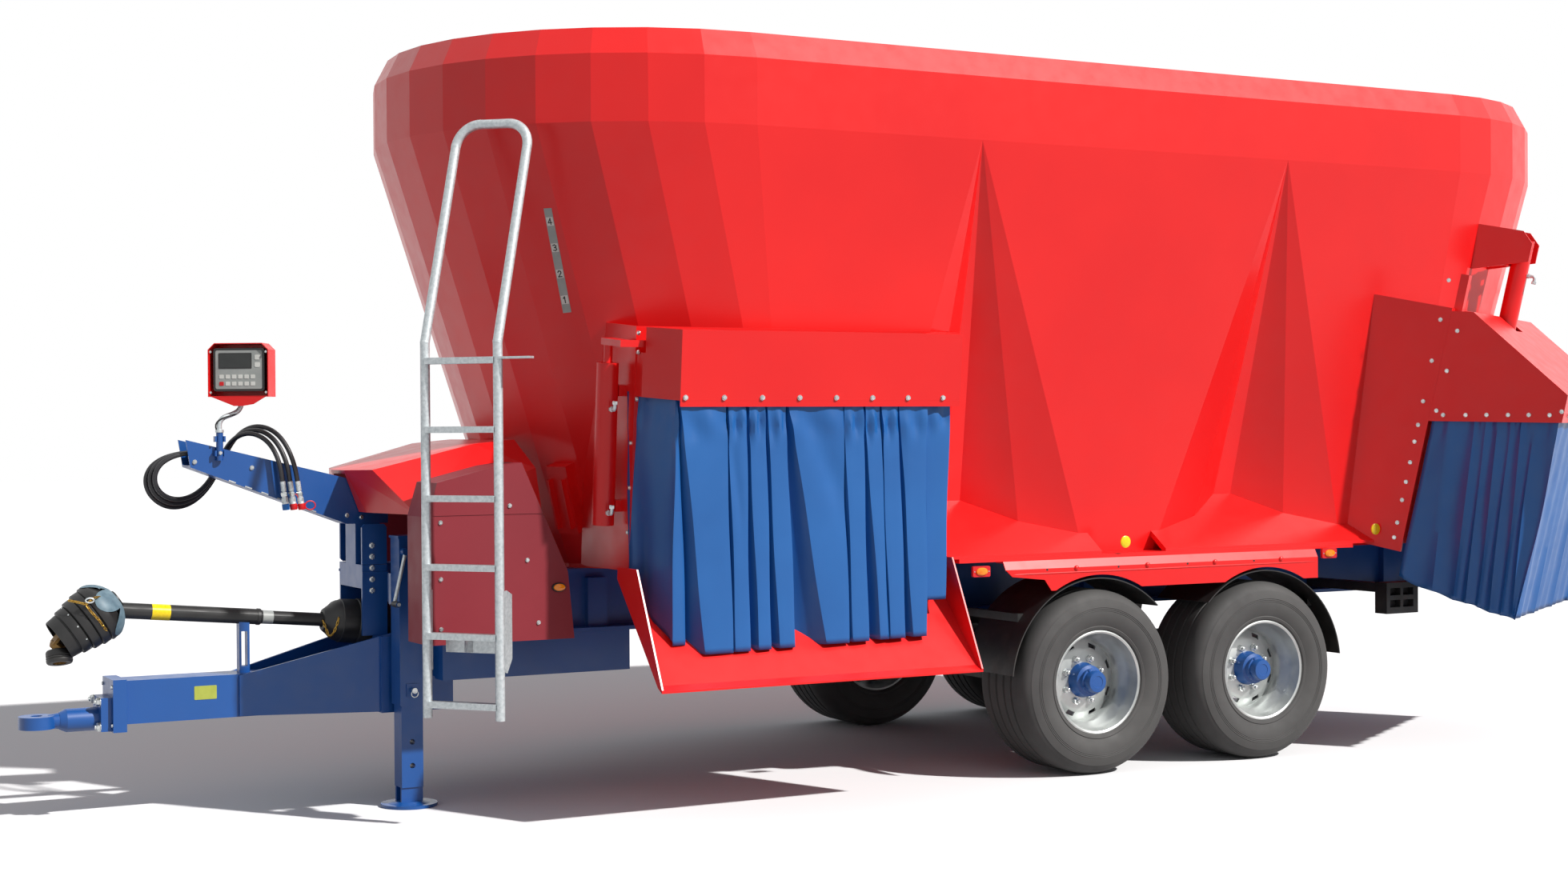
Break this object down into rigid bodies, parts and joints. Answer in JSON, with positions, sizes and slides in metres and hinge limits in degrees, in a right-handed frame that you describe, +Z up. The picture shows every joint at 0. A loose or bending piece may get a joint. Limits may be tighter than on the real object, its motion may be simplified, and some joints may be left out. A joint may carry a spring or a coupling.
{
  "type": "feed mixer wagon",
  "caption": "Towed feed mixer wagon with a tall lobed tub, two vertical augers, side and corner discharge chutes with curtains, tandem wheels and a parking jack.",
  "frame": {"origin": "centre of the towing eye's bore", "axes": "+X from the towing eye to the back of the wagon, +Z up, -Y to the side with the front chute"},
  "size_m": [8.663, 3.387, 3.54],
  "materials": {
    "tyre": "road tyre rubber",
    "rim_steel": "silver painted pressed steel",
    "auger_steel": "worn bare steel",
    "curtain_pvc": "glossy coated PVC sheet",
    "blue_paint": "gloss paint",
    "galvanised_steel": "hot dip galvanised",
    "cover_paint": "matt paint",
    "black_plastic": "moulded plastic",
    "hose_rubber": "hose rubber",
    "amber_lens": "lens",
    "chassis_black": "gloss paint",
    "red_paint": "gloss powder coat"
  },
  "bodies": {
    "chassis": {"tub": "red_paint", "tub_floor": "red_paint", "tub_ring": "red_paint", "skirts": "red_paint", "main_frame": "blue_paint", "drawbar": "blue_paint", "tow_eye": "blue_paint", "jack_sleeve": "blue_paint", "jack_leg": "blue_paint", "drive_hood": "red_paint", "side_covers": "cover_paint", "pto_shaft": "black_plastic", "pto_stand": "blue_paint", "hose_arm": "blue_paint", "hose_1": "hose_rubber", "hose_2": "hose_rubber", "hose_3": "hose_rubber", "couplers": "red_paint", "terminal": "red_paint", "terminal_post": "galvanised_steel", "ladder": "galvanised_steel", "front_frame": "red_paint", "front_hood": "red_paint", "front_tray": "red_paint", "front_curtain": "curtain_pvc", "rear_frame": "red_paint", "rear_hood": "red_paint", "rear_curtain": "curtain_pvc", "door_barrels": "red_paint", "axles": "chassis_black", "suspension": "chassis_black", "mudguards": "black_plastic", "lamps": "amber_lens", "drive_line": "chassis_black", "knife_boxes": "red_paint", "lamp_carrier": "black_plastic"},
    "front_door": {"front_door": "red_paint"},
    "rear_door": {"rear_door": "red_paint"},
    "auger_front": {"auger_front": "auger_steel"},
    "auger_rear": {"auger_rear": "auger_steel"},
    "wheel_set_front_left": {"tyre_front_left": "tyre", "wheel_front_left": "rim_steel"},
    "wheel_set_front_right": {"tyre_front_right": "tyre", "wheel_front_right": "rim_steel"},
    "wheel_set_rear_left": {"tyre_rear_left": "tyre", "wheel_rear_left": "rim_steel"},
    "wheel_set_rear_right": {"tyre_rear_right": "tyre", "wheel_rear_right": "rim_steel"}
  },
  "joints": [
    {"name": "wheel_spin_front_left", "type": "hinge", "parent": "chassis", "child": "wheel_set_front_left", "pos_m": [4.87, -1.0575, 0.007], "axis": [0, 1, 0], "continuous": true},
    {"name": "wheel_spin_front_right", "type": "hinge", "parent": "chassis", "child": "wheel_set_front_right", "pos_m": [4.87, 1.0575, 0.007], "axis": [0, 1, 0], "continuous": true},
    {"name": "wheel_spin_rear_left", "type": "hinge", "parent": "chassis", "child": "wheel_set_rear_left", "pos_m": [5.93, -1.0575, 0.007], "axis": [0, 1, 0], "continuous": true},
    {"name": "wheel_spin_rear_right", "type": "hinge", "parent": "chassis", "child": "wheel_set_rear_right", "pos_m": [5.93, 1.0575, 0.007], "axis": [0, 1, 0], "continuous": true},
    {"name": "auger_spin_front", "type": "hinge", "parent": "chassis", "child": "auger_front", "pos_m": [3.41, 0, 0.645], "axis": [0, 0, 1], "continuous": true},
    {"name": "auger_spin_rear", "type": "hinge", "parent": "chassis", "child": "auger_rear", "pos_m": [6.81, 0, 0.645], "axis": [0, 0, 1], "continuous": true},
    {"name": "front_door_slide", "type": "slide", "parent": "chassis", "child": "front_door", "axis": [0, -0.0917, 0.9958], "range_m": [0, 0.64]},
    {"name": "rear_door_slide", "type": "slide", "parent": "chassis", "child": "rear_door", "axis": [0.1094, -0.1786, 0.9778], "range_m": [0, 0.64]}
  ]
}
